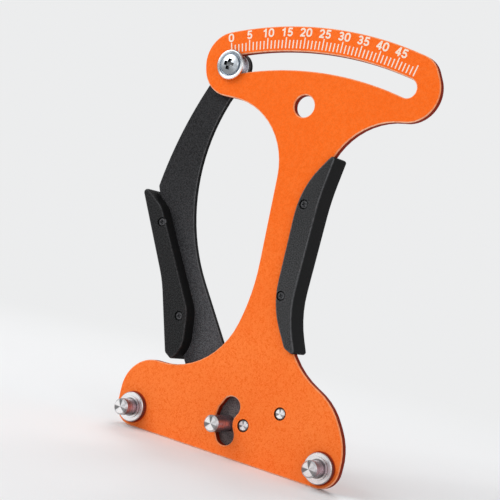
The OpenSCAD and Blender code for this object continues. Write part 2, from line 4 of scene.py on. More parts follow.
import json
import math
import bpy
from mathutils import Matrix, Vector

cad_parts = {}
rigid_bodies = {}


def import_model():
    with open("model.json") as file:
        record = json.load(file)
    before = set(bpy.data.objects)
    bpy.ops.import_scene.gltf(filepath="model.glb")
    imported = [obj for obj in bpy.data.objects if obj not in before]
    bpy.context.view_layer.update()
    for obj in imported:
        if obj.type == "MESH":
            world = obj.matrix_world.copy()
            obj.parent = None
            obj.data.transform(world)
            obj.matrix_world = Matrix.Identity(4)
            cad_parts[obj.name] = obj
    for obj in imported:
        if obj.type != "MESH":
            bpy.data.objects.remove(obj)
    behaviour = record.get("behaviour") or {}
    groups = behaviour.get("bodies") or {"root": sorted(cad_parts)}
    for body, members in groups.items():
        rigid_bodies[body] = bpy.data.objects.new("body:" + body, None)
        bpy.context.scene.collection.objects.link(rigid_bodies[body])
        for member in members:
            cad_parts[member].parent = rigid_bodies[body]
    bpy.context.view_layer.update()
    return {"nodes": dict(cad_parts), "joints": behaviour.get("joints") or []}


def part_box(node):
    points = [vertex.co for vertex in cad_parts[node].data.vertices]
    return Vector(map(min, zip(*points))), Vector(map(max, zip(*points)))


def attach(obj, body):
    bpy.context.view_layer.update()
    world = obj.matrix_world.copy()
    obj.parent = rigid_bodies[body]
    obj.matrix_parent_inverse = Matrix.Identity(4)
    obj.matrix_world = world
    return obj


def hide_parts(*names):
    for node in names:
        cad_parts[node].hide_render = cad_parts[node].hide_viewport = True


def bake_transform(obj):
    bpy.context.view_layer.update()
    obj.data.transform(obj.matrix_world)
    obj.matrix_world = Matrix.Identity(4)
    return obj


bl_info = {
    "name": "Spoke Tension Meter",
    "version": (1, 0, 0),
    "blender": (4, 5, 0),
    "location": "3D View > Sidebar > Tension Meter",
    "description": "Dresses the frame of a spoke tension meter with its coats, dial print and small parts",
    "category": "Object",
}

import bmesh
import bpy
from bpy.props import FloatProperty, FloatVectorProperty, IntProperty, PointerProperty
from mathutils import Matrix, Vector

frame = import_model()
NODES = frame["nodes"]
PLATE_BODY, LEVER_BODY = "plate", "lever"
MM = 0.001

# Places that the frame gives, in metres
HINGE = frame["joints"][0]
PIVOT = Vector(HINGE["pos_m"])
PLATE_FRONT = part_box("front_plate")[0].y
ARM_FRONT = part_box("lever_arm")[0].y


def middle(node):
    """The middle of a node's box."""
    low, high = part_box(node)
    return (low + high) / 2


POINTER = middle("pointer_screw")
DIAL_R = math.hypot(POINTER.x - PIVOT.x, POINTER.z - PIVOT.z)
DIAL_ZERO = math.degrees(math.atan2(POINTER.x - PIVOT.x, POINTER.z - PIVOT.z))
DIAL_SWEEP = HINGE["range_deg"][1]


def clock(radius, degrees):
    """The point at a clock angle about the pivot, seen from the front."""
    a = math.radians(degrees)
    return Vector((PIVOT.x + radius * math.sin(a), 0.0, PIVOT.z + radius * math.cos(a)))


# ---------------------------------------------------------------- sizes and colours


def length_setting(name, description, default, precision=5):
    """A length that a user may change."""
    return FloatProperty(name=name, description=description, default=default, unit="LENGTH",
                         precision=precision)


def colour_setting(name, description, default):
    """A colour that a user may change."""
    return FloatVectorProperty(name=name, description=description, subtype="COLOR", size=3,
                               default=default, min=0, max=1)


class DialSettings(bpy.types.PropertyGroup):
    """Sizes of the printed scale."""

    divisions: IntProperty(name="Divisions", description="Divisions from zero to full scale", default=50,
                           min=10)
    tick_width: length_setting("Tick width", "Width of a printed line", 0.60 * MM)
    tick_foot: length_setting("Tick foot", "From the pointer's path to the lower end of every line", 5.9 * MM)
    short_tick: length_setting("Short line", "Length of a line between two numbers", 4.0 * MM)
    long_tick: length_setting("Long line", "Length of a numbered line", 5.3 * MM)
    number_height: length_setting("Number height", "Height of the printed numbers", 4.2 * MM)
    number_stroke: length_setting("Number stroke", "Width of a number's strokes", 0.82 * MM)
    number_radius: length_setting("Number radius", "From the pivot to the middle of the numbers",
                                  DIAL_R + 13.7 * MM)
    film: length_setting("Ink film", "How far the print stands out", 0.02 * MM, 6)


class CoatSettings(bpy.types.PropertyGroup):
    """Colours and grain of the coats."""

    orange: colour_setting("Orange", "Colour of the plate", (0.95, 0.142, 0.006))
    black: colour_setting("Black", "Colour of the lever", (0.015, 0.015, 0.016))
    grip: colour_setting("Grip", "Colour of the moulded grips", (0.021, 0.0213, 0.022))
    ink: colour_setting("Ink", "Colour of the print", (0.88, 0.74, 0.62))
    grain: length_setting("Grain", "Size of the blasted grain of the orange coat", 0.55 * MM)


class SpringSettings(bpy.types.PropertyGroup):
    """The torsion spring. Its route follows the frame's spring."""

    wire: length_setting("Wire", "Diameter of the wire", 1.6 * MM)
    coil_radius: length_setting("Coil radius", "Radius to the middle of the wire", 6.0 * MM)


class StageSettings(bpy.types.PropertyGroup):
    """Studio and camera."""

    focal_px: FloatProperty(name="Focal length", description="Focal length in pixels of a 500 pixel frame",
                            default=1381.0)
    floor: colour_setting("Floor", "Colour of the floor round the object", (0.88, 0.88, 0.88))
    backdrop: colour_setting("Backdrop", "Colour that the floor fades to", (0.84, 0.845, 0.85))
    key_light: FloatProperty(name="Key light", description="Power of the main lamp in watts", default=27.0)
    world_light: FloatProperty(name="World light", description="Strength of the light from all round",
                               default=0.47)


class MeterSettings(bpy.types.PropertyGroup):
    """All settings of the meter."""

    dial: PointerProperty(type=DialSettings)
    coats: PointerProperty(type=CoatSettings)
    spring: PointerProperty(type=SpringSettings)
    stage: PointerProperty(type=StageSettings)


def settings():
    """The scene's settings."""
    return bpy.context.scene.tension_meter


# ---------------------------------------------------------------- node graphs

# Places of the colour sockets on a Mix node
MIX_A, MIX_B, MIX_RESULT = 6, 7, 2


class Value:
    """A socket's value in a node graph. Python's operators join values with Math nodes."""

    def __init__(self, graph, socket):
        self.graph = graph
        self.socket = socket

    def math(self, operation, *others):
        """A Math node on this value and others."""
        return self.graph.maths(operation, self, *others)

    def __add__(self, other):
        return self.math("ADD", other)

    def __radd__(self, other):
        return self.math("ADD", other)

    def __sub__(self, other):
        return self.math("SUBTRACT", other)

    def __rsub__(self, other):
        return self.graph.maths("SUBTRACT", other, self)

    def __mul__(self, other):
        return self.math("MULTIPLY", other)

    def __rmul__(self, other):
        return self.math("MULTIPLY", other)

    def __truediv__(self, other):
        return self.math("DIVIDE", other)

    def __rtruediv__(self, other):
        return self.graph.maths("DIVIDE", other, self)

    def __abs__(self):
        return self.math("ABSOLUTE")

    def __lt__(self, other):
        return self.math("LESS_THAN", other)

    def __gt__(self, other):
        return self.math("GREATER_THAN", other)

    def smooth(self, low, high, to_low=0.0, to_high=1.0):
        """A smooth step from to_low to to_high as the value goes from low to high."""
        ends = {"Value": self, "From Min": low, "From Max": high, "To Min": to_low, "To Max": to_high}
        return self.graph.add("ShaderNodeMapRange", {"interpolation_type": "SMOOTHSTEP"}, ends, "Result")

    def fade(self, low, high):
        """1 up to low, and 0 from high on."""
        return 1.0 - self.smooth(low, high)

    def band(self, rise, fall):
        """1 between two smooth slopes, each given by its ends, and 0 outside them."""
        return self.smooth(*rise) * self.fade(*fall)


class Graph:
    """A shader or geometry node tree that is written from Python."""

    def __init__(self, tree):
        self.tree = tree

    def add(self, kind, options=None, values=None, out=0):
        """Adds a node, sets its options, then its sockets' values or links, and gives one output."""
        node = self.tree.nodes.new(kind)
        for name, option in (options or {}).items():
            setattr(node, name, option)
        for name, value in (values or {}).items():
            self.put(node.inputs[name], value)
        return Value(self, node.outputs[out])

    def maths(self, operation, *values):
        """A Math node on values or plain numbers."""
        return self.add("ShaderNodeMath", {"operation": operation}, dict(enumerate(values)))

    def vectors(self, operation, *values, out="Vector"):
        """A Vector Math node on values or plain vectors."""
        return self.add("ShaderNodeVectorMath", {"operation": operation}, dict(enumerate(values)), out)

    def put(self, socket, value):
        """Links a value to a socket, or sets the socket to a plain number, colour or vector."""
        if isinstance(value, Value):
            self.tree.links.new(value.socket, socket)
        elif socket.type == "RGBA" and len(value) == 3:
            socket.default_value = (*value, 1.0)
        else:
            socket.default_value = value


class Finish(Graph):
    """A material with one Principled surface."""

    def __init__(self, name, colour, roughness, metallic=0.0, **sockets):
        self.material = bpy.data.materials.new(name)
        self.material.use_nodes = True
        self.material.diffuse_color = (*colour, 1.0)
        super().__init__(self.material.node_tree)
        self.tree.nodes.clear()
        self.surface = self.tree.nodes.new("ShaderNodeBsdfPrincipled")
        self.output = self.tree.nodes.new("ShaderNodeOutputMaterial")
        self.tree.links.new(self.surface.outputs[0], self.output.inputs["Surface"])
        self.set(Base_Color=colour, Roughness=roughness, Metallic=metallic, **sockets)

    def set(self, **values):
        """Sets or links the surface's sockets. An underscore in a name stands for a space."""
        for name, value in values.items():
            self.put(self.surface.inputs[name.replace("_", " ")], value)

    def place(self):
        """The point on the object."""
        return self.add("ShaderNodeTexCoord", out="Object")

    def along(self, axis):
        """One coordinate of the point on the object, in metres."""
        return self.add("ShaderNodeSeparateXYZ", None, {0: self.place()}, axis)

    def normal(self, axis):
        """One part of the surface's normal."""
        normal = self.add("ShaderNodeTexCoord", out="Normal")
        return self.add("ShaderNodeSeparateXYZ", None, {0: normal}, axis)

    def facing(self):
        """How squarely the surface faces front or back: 1 on the flat faces, 0 on the walls."""
        return abs(self.normal("Y"))

    def noise(self, size, detail=2.0, rough=0.5, at=None):
        """Cloudy noise from 0 to 1 with lumps of a size."""
        values = {"Vector": at or self.place(), "Scale": 1.0 / size, "Detail": detail, "Roughness": rough}
        return self.add("ShaderNodeTexNoise", None, values, "Fac")

    def mix(self, factor, a, b):
        """A colour between a and b."""
        return self.add("ShaderNodeMix", {"data_type": "RGBA"}, {"Factor": factor, MIX_A: a, MIX_B: b},
                        MIX_RESULT)

    def shades(self, value, low, high, colour, dark, pale):
        """A colour, from dark times to pale times itself as a value goes from low to high."""
        return self.mix(value.smooth(low, high), tinted(colour, dark), tinted(colour, pale))

    def relief(self, height, distance, strength):
        """Gives the surface a fine relief, a distance deep."""
        values = {"Height": height, "Distance": distance, "Strength": strength}
        self.set(Normal=self.add("ShaderNodeBump", None, values, "Normal"))

    def about(self, axis):
        """Distance from an axis that runs front to back, the direction away from it, and the depth."""
        at = self.vectors("SUBTRACT", self.place(), tuple(axis))
        flat = self.vectors("MULTIPLY", at, (1.0, 0.0, 1.0))
        radius = self.vectors("LENGTH", flat, out="Value")
        away = self.vectors("NORMALIZE", flat)
        return radius, away, self.add("ShaderNodeSeparateXYZ", None, {0: at}, "Y")

    def towards(self, away, degrees):
        """1 where the direction away from the axis is at an angle from the right, -1 opposite it."""
        a = math.radians(degrees)
        return self.vectors("DOT_PRODUCT", away, (math.cos(a), 0.0, math.sin(a)), out="Value")

    def ring_lines(self, radius, depth, step):
        """Turning marks: lines on the walls, rings on the faces."""
        return self.add("ShaderNodeTexNoise", {"noise_dimensions": "1D"},
                        {"W": radius + depth * 1.3, "Scale": 1.0 / step, "Detail": 2.0})


def tinted(colour, factor):
    """A colour made lighter or darker."""
    return tuple(min(1.0, c * factor) for c in colour)


# ---------------------------------------------------------------- finishes

# Slopes on how squarely a surface faces front: where a wall ends, either side of a chamfer, and where a
# turned end begins
CUT_WALL = (0.20, 0.50)
CUT_CHAMFER = ((0.42, 0.60), (0.84, 0.95))
MOULDED_WALL = (0.10, 0.45)
MOULDED_EDGE = ((0.55, 0.72), (0.93, 0.985))
TURNED_END = (0.55, 0.85)

# Slopes on a noise, of its darker and paler lumps
GRAIN = (0.36, 0.64)
LUMPS = (0.35, 0.65)
HIGHLIGHT_PATCHES = (0.30, 0.62)

COUNTERBORE_R = 3.05 * MM
BRIGHT_STEEL = (0.66, 0.66, 0.67)
PLAIN_STEEL = (0.52, 0.52, 0.55)
ZINC = (0.50, 0.53, 0.57)
POINTER_ZINC = (0.56, 0.60, 0.64)
SLEEVE_ZINC = (0.80, 0.79, 0.84)
# Painted shade for the walls of the collars
COLLAR_WALL_SHADE = (0.13, 0.035, 0.028)


def orange_coat():
    """Blasted and coated plate: fine grain, a painted highlight along each chamfer, painted shade on the cut
    walls in deep red, and painted sheen towards the foot.
    """
    coats = settings().coats
    orange = tuple(coats.orange)
    red, green, blue = orange
    grain_sheen = (1.0, green * 1.75, green * 0.42)
    blotch_and_sheen = (1.0, green * 1.60, green * 0.30)
    clouded = (red * 0.96, green * 0.86, blue)
    wall_shade_red = (red * 0.20, green * 0.05, blue * 0.4)
    upper_chamfer_highlight, lower_chamfer_highlight = (1.0, 0.36, 0.16), (1.0, 0.54, 0.34)
    bore_shade, collar_shade = (0.05, 0.012, 0.006), (0.34, 0.012, 0.003)

    f = Finish("orange_coat", orange, 0.46, Specular_IOR_Level=0.09)
    speck = f.noise(coats.grain, 4.0, 0.62).smooth(0.34, 0.68)
    body = f.mix(speck, tinted(orange, 0.93), tinted(orange, 1.08))
    # Painted sheen: the grain is painted paler towards the foot, and the pale blotches grow stronger there
    pale = f.along("Z").smooth(0.010, 0.165, 0.95, 0.06)
    body = f.mix(speck * pale, body, grain_sheen)
    blotch = f.noise(1.3 * MM, 3.0, 0.60).smooth(0.40, 0.62)
    body = f.mix(blotch * (pale * 0.60 + 0.22), body, blotch_and_sheen)
    body = f.mix(f.noise(34 * MM, 2.0).smooth(*LUMPS, 0.0, 0.20), body, clouded)
    facing = f.facing()
    # Painted shade: the cut walls are painted deep red
    wall = facing.fade(*CUT_WALL)
    body = f.mix(wall * 0.94, body, wall_shade_red)
    # Painted highlight along each chamfer, broken up by noise, paler on chamfers that face down
    chamfer = facing.band(*CUT_CHAMFER)
    edge_highlight_patches = f.noise(1.3 * MM, 3.0, 0.6).smooth(*HIGHLIGHT_PATCHES, 0.45, 1.0)
    under = f.normal("Z").fade(-0.60, -0.20)
    body = f.mix(chamfer * edge_highlight_patches, body, f.mix(under, upper_chamfer_highlight, lower_chamfer_highlight))
    # Painted shade: dark rings in the counterbores round the riveted ends, and a deep red painted shadow
    # round the collars
    for pin in ("pivot_pin", "spring_anchor"):
        gap = f.about(middle(pin))[0].fade(COUNTERBORE_R + 0.01 * MM, COUNTERBORE_R + 0.05 * MM)
        body = f.mix(gap * 0.9, body, bore_shade)
    for post in ("post_left", "post_right"):
        low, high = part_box(post)
        collar_r = (high.x - low.x) / 2
        radius, _, depth = f.about(middle(post))
        at_front = depth < PLATE_FRONT + 1.0 * MM - middle(post).y
        ring = radius.fade(collar_r + 0.30 * MM, collar_r + 0.70 * MM)
        body = f.mix(ring * at_front * 0.85, body, collar_shade)
    f.set(Base_Color=body, Roughness=speck * 0.12 + (0.42 - chamfer * 0.14) + wall * 0.25)
    f.relief(f.noise(coats.grain * 0.55, 2.0, 0.6), 0.05 * MM, 0.5)
    return f.material


def black_coat():
    """Finely textured black coat of the lever, painted lighter low down and behind the kidney slot, with a
    painted highlight along its edges and painted shade on its walls.
    """
    black = tuple(settings().coats.black)
    kidney_light, lever_edge_highlight = (0.26, 0.22, 0.22), (0.14, 0.14, 0.145)

    f = Finish("black_coat", black, 0.55, Specular_IOR_Level=0.10)
    grain = f.noise(0.52 * MM, 2.0, 0.55)
    mottle = f.noise(7 * MM, 3.0, 0.55)
    body = f.shades(grain, *GRAIN, black, 0.30, 2.4)
    body = f.mix(mottle.smooth(*LUMPS, 0.0, 0.30), body, tinted(black, 1.45))
    # Painted light: lighter towards the foot
    foot_light = f.shades(grain, *GRAIN, black, 3.0, 8.0)
    body = f.mix(f.along("Z").smooth(0.03, 0.14, 0.95, 0.0), body, foot_light)
    # Painted light: a paler patch behind the kidney slot, where the lever lies in shade
    at_front = f.along("Y") < ARM_FRONT + 0.5 * MM
    near = f.about(PIVOT)[0].fade(15 * MM, 24 * MM)
    painted_light = near * at_front * grain.smooth(0.30, 0.66, 0.25, 1.0)
    body = f.mix(painted_light * 0.85, body, kidney_light)
    facing = f.facing()
    # Painted shade: darker walls
    wall = facing.fade(*CUT_WALL)
    body = f.mix(wall * 0.85, body, tinted(black, 0.18))
    # Painted highlight along the chamfers, broken up by noise
    edge_highlight_patches = f.noise(1.1 * MM, 3.0).smooth(*HIGHLIGHT_PATCHES, 0.2, 0.7)
    body = f.mix(facing.band(*CUT_CHAMFER) * edge_highlight_patches, body, lever_edge_highlight)
    f.set(Base_Color=body, Roughness=grain * 0.16 + 0.44 + wall * 0.2)
    f.relief(grain, 0.08 * MM, 0.5)
    return f.material


def grip_plastic():
    """Matt moulded grip with a fine spark-eroded texture and faint flow marks, a painted highlight along its
    edges, painted shade on its walls and on the left grip, and painted light low on the right grip.
    """
    grip = tuple(settings().coats.grip)
    grip_edge_highlight = (0.13, 0.13, 0.135)

    f = Finish("grip_plastic", grip, 0.62, Specular_IOR_Level=0.09)
    fine = f.noise(0.50 * MM, 2.0, 0.55)
    flow = f.noise(16 * MM, 3.0, 0.5)
    body = f.shades(fine, 0.34, 0.66, grip, 0.55, 1.75)
    body = f.mix(flow.smooth(0.35, 0.70, 0.0, 0.40), body, tinted(grip, 1.8))
    # Painted shade darkens the left grip, and painted light makes the right one paler, most of all low down;
    # its edge highlight is stronger too
    right = f.along("X").smooth(-0.035, -0.005)
    low = f.along("Z").smooth(0.07, 0.15, 0.75, 0.25)
    left_grip_shade = f.shades(fine, *GRAIN, grip, 0.08, 1.5)
    painted_light = f.shades(fine, *GRAIN, grip, 1.1, 3.7)
    body = f.mix((1.0 - right) * 0.90, body, left_grip_shade)
    body = f.mix(right * low, body, painted_light)
    facing = f.facing()
    # Painted shade: darker walls
    wall = facing.fade(*MOULDED_WALL)
    body = f.mix(wall * 0.90, body, tinted(grip, 0.35))
    # Painted highlight along the edges, broken up by noise and strongest on the right grip
    edge_highlight_patches = f.noise(1.5 * MM, 3.0).smooth(*HIGHLIGHT_PATCHES, 0.25, 0.75) * (right * 0.65 + 0.35)
    body = f.mix(facing.band(*MOULDED_EDGE) * edge_highlight_patches, body, grip_edge_highlight)
    f.set(Base_Color=body, Roughness=flow * 0.12 + (fine * 0.10 + 0.44) + wall * 0.25)
    f.relief(fine, 0.03 * MM, 0.4)
    return f.material


def turned_steel(name, axis, colour=BRIGHT_STEEL, pin_r=4.0 * MM, shine=1.0, skirt=None):
    """Bright turned steel: grooves round the walls, painted shade and a painted plate reflection on them, and
    painted fans of highlight and shade on the faced ends.
    pin_r is the end's radius, shine lightens its fan, and the last argument is a colour of painted shade for
    a collar's wall."""
    groove_step = 0.16 * MM
    f = Finish(name, colour, 0.24, 1.0)
    radius, away, depth = f.about(axis)
    lines = f.ring_lines(radius, depth, groove_step)
    coarse = f.ring_lines(radius, depth, groove_step * 4.0)
    end = f.facing().smooth(*TURNED_END)

    # The walls: painted shade below and on top, a painted light band between, a painted reflection of the red
    # plate in their tint, and stripes of the grooves
    upper = f.towards(away, 90)
    plate_reflection_tint = (colour[0] * 0.82, colour[1] * 0.50, colour[2] * 0.58)
    wall = f.shades(upper, -0.70, 0.0, plate_reflection_tint, 0.10, 1.05)
    wall = f.mix(upper.smooth(0.15, 0.75), wall, tinted(plate_reflection_tint, 0.28))
    wall = f.mix(coarse.smooth(0.40, 0.62, 0.0, 0.70), wall, tinted(plate_reflection_tint, 0.22))
    # Painted shade on the walls of collars
    if skirt:
        wall = f.mix(radius.smooth(pin_r * 1.12, pin_r * 1.20) * 0.85, wall, skirt)

    # The faced end, in sectors of painted highlight and shade: the angle of the middle, half the width in
    # degrees, and the shade
    bright, dark, dim = tinted(colour, 1.60), tinted(colour, 0.16 * shine), tinted(colour, 0.28 * shine)
    sectors = ((150, 26, bright), (283, 36, bright), (203, 22, dark), (98, 16, dark), (338, 18, dim))
    fan = f.shades(f.noise(1.3, 1.0, at=away), *LUMPS, colour, 0.66 * shine, 1.08 * shine)
    for angle, half, shade in sectors:
        outer, inner = math.cos(math.radians(half * 1.25)), math.cos(math.radians(half * 0.6))
        fan = f.mix(f.towards(away, angle).smooth(outer, inner) * 0.92, fan, shade)

    # The faces of collars, pale with a shadow at the foot of the pin
    collar = f.mix(f.noise(1.5, 1.0, at=away).smooth(*LUMPS), tinted(colour, 1.38), bright)
    collar = f.mix(coarse.smooth(0.50, 0.70, 0.0, 0.30), collar, tinted(colour, 0.95))
    collar = f.mix(radius.fade(pin_r * 1.06, pin_r * 1.18) * 0.85, collar, tinted(colour, 0.18))

    tip = end * radius.fade(pin_r * 0.97, pin_r * 1.03)
    body = f.mix(tip, f.mix(end, wall, collar), fan)
    body = f.mix(lines.smooth(0.40, 0.68, 0.0, 0.22), body, tinted(colour, 0.60))
    f.set(Base_Color=body, Roughness=f.noise(2.5 * MM, 2.0) * 0.12 + 0.22, Metallic=end * 0.45 + 0.55)
    f.relief(lines, 0.014 * MM, 0.9)
    return f.material


def plated_steel(name, axis, colour=ZINC, roughness=0.24, recess=None):
    """Zinc plated steel: a soft cloudy lustre, with broad fans of painted highlight above and painted shade
    below.
    recess is a head's face, the reach of the recess painted dark in it, and the radius where its raised rim
    begins."""
    f = Finish(name, colour, roughness, 1.0)
    radius, away, depth = f.about(axis)
    cloud = f.noise(1.6 * MM, 3.0)
    body = f.shades(cloud, 0.35, 0.7, colour, 0.84, 1.08)
    # Painted shade below and painted highlight above
    body = f.mix(f.towards(away, 262).smooth(0.10, 0.90), body, tinted(colour, 0.50))
    body = f.mix(f.towards(away, 100).smooth(0.30, 0.95), body, tinted(colour, 1.30))
    if recess:
        face, reach, rim = recess
        groove_shade = (colour[0] * 0.22, colour[1] * 0.27, colour[2] * 0.33)
        recess_wall_shade, recess_floor_shade = (0.02, 0.022, 0.024), (0.13, 0.135, 0.14)
        # Painted highlights on the rounded rim, at the lower right and the upper left
        lip = radius.smooth(rim - 0.25 * MM, rim + 0.35 * MM)
        ring = f.shades(f.towards(away, 300), 0.0, 0.80, colour, 0.62, 1.85)
        ring = f.mix(f.towards(away, 140).smooth(0.60, 0.95), ring, tinted(colour, 1.45))
        body = f.mix(lip, body, ring)
        # Painted shade in the groove inside the rim
        groove = radius.smooth(rim - 0.95 * MM, rim - 0.30 * MM) * (1.0 - lip)
        body = f.mix(groove * 0.85, body, groove_shade)
        # Painted shade in the cross recess, darkest on its walls
        below = depth.smooth(face - axis[1] + 0.30 * MM, face - axis[1] + 0.42 * MM)
        inside = below * radius.fade(reach - 0.1 * MM, reach)
        shade = f.mix(f.facing().smooth(0.70, 0.90), recess_wall_shade, recess_floor_shade)
        body = f.mix(inside * 0.95, body, shade)
    f.set(Base_Color=body, Roughness=cloud * 0.16 + (roughness - 0.04))
    f.relief(cloud, 0.010 * MM, 0.4)
    return f.material


def blackened_steel(name, axis):
    """Black oxide on small screws and the clip."""
    f = Finish(name, (0.045, 0.045, 0.048), 0.35, 0.7)
    radius, _, depth = f.about(axis)
    cloud = f.noise(0.8 * MM, 3.0)
    f.set(Base_Color=f.mix(cloud.smooth(0.3, 0.7), (0.03, 0.03, 0.032), (0.085, 0.085, 0.09)),
          Roughness=cloud * 0.18 + 0.27)
    f.relief(f.ring_lines(radius, depth, 0.15 * MM), 0.006 * MM, 0.4)
    return f.material


def spring_steel():
    """Oil-hardened wire with drawing lines and a dark film."""
    f = Finish("spring_steel", (0.20, 0.20, 0.205), 0.32, 1.0)
    film = f.noise(3.0 * MM, 3.0)
    f.set(Base_Color=f.mix(film.smooth(0.35, 0.7), (0.14, 0.14, 0.145), (0.32, 0.32, 0.33)),
          Roughness=film * 0.15 + 0.25)
    f.relief(f.noise(0.15 * MM, 2.0), 0.01 * MM, 0.3)
    return f.material


def dial_ink():
    """Printed ink, with a slightly uneven film."""
    ink = tuple(settings().coats.ink)
    f = Finish("dial_ink", ink, 0.45)
    film = f.noise(0.5 * MM, 2.0)
    f.set(Base_Color=f.shades(film, 0.3, 0.7, ink, 0.93, 1.05), Roughness=film * 0.1 + 0.4)
    f.relief(film, 0.01 * MM, 0.3)
    return f.material


# ---------------------------------------------------------------- shaping helpers


def dress(obj, material):
    """Gives an object one material."""
    obj.data.materials.clear()
    obj.data.materials.append(material)
    return obj


def new_piece(name, mesh):
    """A new object in the scene, at the origin."""
    obj = bpy.data.objects.new(name, mesh)
    bpy.context.scene.collection.objects.link(obj)
    return obj


def piece_from(bm, name):
    """Turns a bmesh into an object in the scene, at the origin."""
    mesh = bpy.data.meshes.new(name)
    bm.to_mesh(mesh)
    bm.free()
    return new_piece(name, mesh)


def join_rings(bm, a, b):
    """Joins two closed rings of equally many points with a band of faces."""
    for k, point in enumerate(a):
        after = (k + 1) % len(a)
        bm.faces.new((point, a[after], b[after], b[k]))


def baked(obj):
    """Turns an object with live modifiers into a plain mesh object, and removes the old one."""
    graph = bpy.context.evaluated_depsgraph_get()
    mesh = bpy.data.meshes.new_from_object(obj.evaluated_get(graph))
    name, old = obj.name, obj.data
    bpy.data.objects.remove(obj)
    bpy.data.meshes.remove(old)
    mesh.name = name
    return new_piece(name, mesh)


def smooth(obj, degrees):
    """Smooth shading, with edges sharper than the angle kept crisp and large faces kept flat."""
    bm = bmesh.new()
    bm.from_mesh(obj.data)
    for face in bm.faces:
        face.smooth = True
    limit = math.radians(degrees)
    for edge in bm.edges:
        edge.smooth = len(edge.link_faces) == 2 and edge.calc_face_angle(0.0) < limit
    bm.to_mesh(obj.data)
    bm.free()
    weighted = obj.modifiers.new("even shading", "WEIGHTED_NORMAL")
    weighted.keep_sharp = True
    weighted.weight = 60
    return baked(obj)


def smooth_copy(node, material, body, degrees, name):
    """A copy of a frame node with its facets shaded as the round surfaces that they stand for."""
    obj = new_piece(name, NODES[node].data.copy())
    bm = bmesh.new()
    bm.from_mesh(obj.data)
    bmesh.ops.remove_doubles(bm, verts=bm.verts, dist=1e-6)
    bmesh.ops.dissolve_limit(bm, angle_limit=math.radians(0.5), verts=bm.verts, edges=bm.edges)
    bmesh.ops.triangulate(bm, faces=[f for f in bm.faces if len(f.verts) > 4])
    bm.to_mesh(obj.data)
    bm.free()
    obj = dress(smooth(obj, degrees), material)
    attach(obj, body)
    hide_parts(node)


def lathe(name, profile, centre, segments):
    """A turned piece about an axis through centre that runs front to back. profile lists [radius, depth]."""
    bm = bmesh.new()
    turns = [(math.cos(2 * math.pi * k / segments), math.sin(2 * math.pi * k / segments))
             for k in range(segments)]
    rings = []
    for radius, depth in profile:
        spokes = turns if radius > 0 else [(0.0, 0.0)]
        rings.append([bm.verts.new((centre.x + radius * c, depth, centre.z + radius * s)) for c, s in spokes])
    for a, b in zip(rings, rings[1:]):
        if len(a) == len(b):
            join_rings(bm, a, b)
            continue
        for k in range(segments):
            after = (k + 1) % segments
            if len(a) == 1:
                bm.faces.new((a[0], b[after], b[k]))
            else:
                bm.faces.new((a[k], a[after], b[0]))
    bmesh.ops.recalc_face_normals(bm, faces=bm.faces)
    return piece_from(bm, name)


def cross_cutter(centre, face, depth, width, arm, turn, taper):
    """The tapered solid that cuts a cross recess into a face. turn is in degrees, and taper is its size
    near the bottom beside that at the face."""
    outline = []
    w, a = width / 2, arm / 2
    for quarter in range(4):
        t = math.radians(turn + 90 * quarter)
        for u, v in ((w, -a), (w, a), (a, a)):
            outline.append((u * math.cos(t) - v * math.sin(t), u * math.sin(t) + v * math.cos(t)))
    bm = bmesh.new()
    mouth, wall_end, tip = (1.12, face - 0.6 * MM), (taper, face + depth * 0.8), (0.05, face + depth)
    rings = [[bm.verts.new((centre.x + x * scale, at, centre.z + z * scale)) for x, z in outline]
             for scale, at in (mouth, (1.0, face), wall_end, tip)]
    for low, high in zip(rings, rings[1:]):
        join_rings(bm, low, high)
    bm.faces.new(rings[0])
    bm.faces.new(rings[-1])
    bmesh.ops.recalc_face_normals(bm, faces=bm.faces)
    return piece_from(bm, "cross")


def cut(obj, cutter):
    """Cuts one closed piece with another."""
    boolean = obj.modifiers.new("cut", "BOOLEAN")
    boolean.operation = "DIFFERENCE"
    boolean.solver = "EXACT"
    boolean.object = cutter
    done = baked(obj)
    bpy.data.objects.remove(cutter)
    return done


# ---------------------------------------------------------------- geometry nodes


class Growth(Graph):
    """A geometry node tree with named inputs, which ends in Realize Instances and Set Material."""

    def __init__(self, name, inputs):
        tree = bpy.data.node_groups.new(name, "GeometryNodeTree")
        super().__init__(tree)
        tree.interface.new_socket("Geometry", in_out="INPUT", socket_type="NodeSocketGeometry")
        self.ids = {}
        for label, kind, default in inputs:
            socket = tree.interface.new_socket(label, in_out="INPUT", socket_type="NodeSocket" + kind)
            if default is not None:
                socket.default_value = default
            self.ids[label] = socket.identifier
        tree.interface.new_socket("Geometry", in_out="OUTPUT", socket_type="NodeSocketGeometry")
        self.source = tree.nodes.new("NodeGroupInput")
        self.target = tree.nodes.new("NodeGroupOutput")

    def given(self, label):
        """The value of one of the tree's inputs."""
        return Value(self, self.source.outputs[label])

    def finish(self, geometry):
        """Ends the tree with a geometry in the given material."""
        whole = self.add("GeometryNodeRealizeInstances", None, {0: geometry})
        values = {"Geometry": whole, "Material": self.given("Material")}
        self.put(self.target.inputs[0], self.add("GeometryNodeSetMaterial", None, values))

    def grow(self, obj, **values):
        """Runs the tree on an object and gives the result as a plain mesh object."""
        modifier = obj.modifiers.new(self.tree.name, "NODES")
        modifier.node_group = self.tree
        for label, value in values.items():
            modifier[self.ids[label.replace("_", " ")]] = value
        return baked(obj)


# Every fifth line is a long one with a number
NUMBERED_LINE = 5


